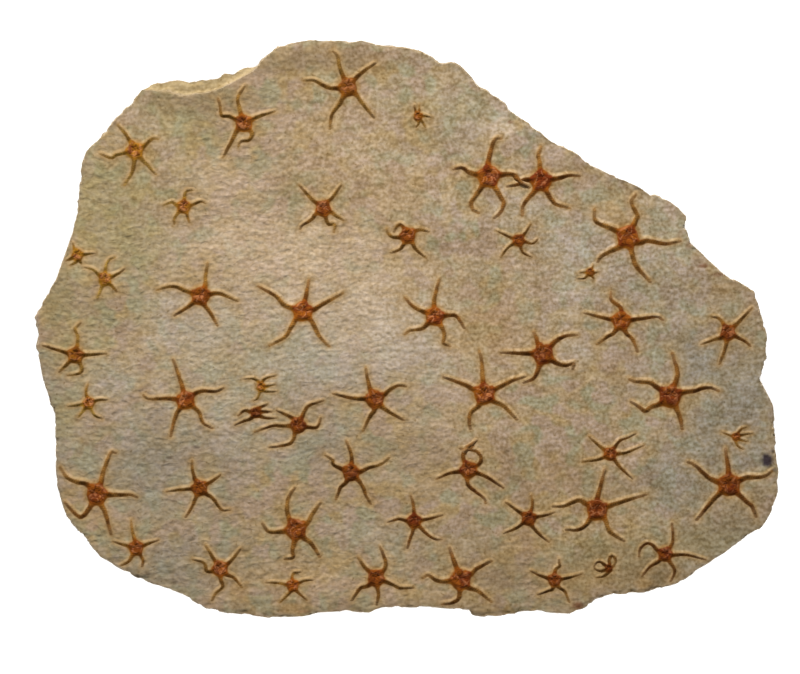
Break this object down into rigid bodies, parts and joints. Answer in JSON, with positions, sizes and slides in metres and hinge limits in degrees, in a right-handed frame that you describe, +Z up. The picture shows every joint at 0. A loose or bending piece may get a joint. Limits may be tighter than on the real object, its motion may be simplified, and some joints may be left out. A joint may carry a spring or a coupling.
{
  "type": "starfish fossil slab",
  "caption": "Irregular broken slab of pale sandstone whose flat face is scattered with rust-brown fossil brittle stars in low relief.",
  "frame": {"origin": "centre of the bounding box at the underside, on the surface the slab lies on", "axes": "+X along the slab's length, to the right as one looks at the face; +Y across its width, to the top of the face; +Z up, out of the face"},
  "size_m": [0.596, 0.464, 0.0334],
  "materials": {
    "stone": "matt",
    "fossil": "matt"
  },
  "bodies": {
    "root": {"slab": "stone", "starfish_01": "fossil", "starfish_02": "fossil", "starfish_03": "fossil", "starfish_04": "fossil", "starfish_05": "fossil", "starfish_06": "fossil", "starfish_07": "fossil", "starfish_08": "fossil", "starfish_09": "fossil", "starfish_10": "fossil", "starfish_11": "fossil", "starfish_12": "fossil", "starfish_13": "fossil", "starfish_14": "fossil", "starfish_15": "fossil", "starfish_16": "fossil", "starfish_17": "fossil", "starfish_18": "fossil", "starfish_19": "fossil", "starfish_20": "fossil", "starfish_21": "fossil", "starfish_22": "fossil", "starfish_23": "fossil", "starfish_24": "fossil", "starfish_25": "fossil", "starfish_26": "fossil", "starfish_27": "fossil", "starfish_28": "fossil", "starfish_29": "fossil", "starfish_30": "fossil", "starfish_31": "fossil", "starfish_32": "fossil", "starfish_33": "fossil", "starfish_34": "fossil", "starfish_35": "fossil", "starfish_36": "fossil", "starfish_37": "fossil", "starfish_38": "fossil", "starfish_39": "fossil", "starfish_40": "fossil", "starfish_41": "fossil", "starfish_42": "fossil", "starfish_43": "fossil", "starfish_44": "fossil", "starfish_45": "fossil", "starfish_46": "fossil", "starfish_47": "fossil", "starfish_48": "fossil"}
  },
  "joints": []
}
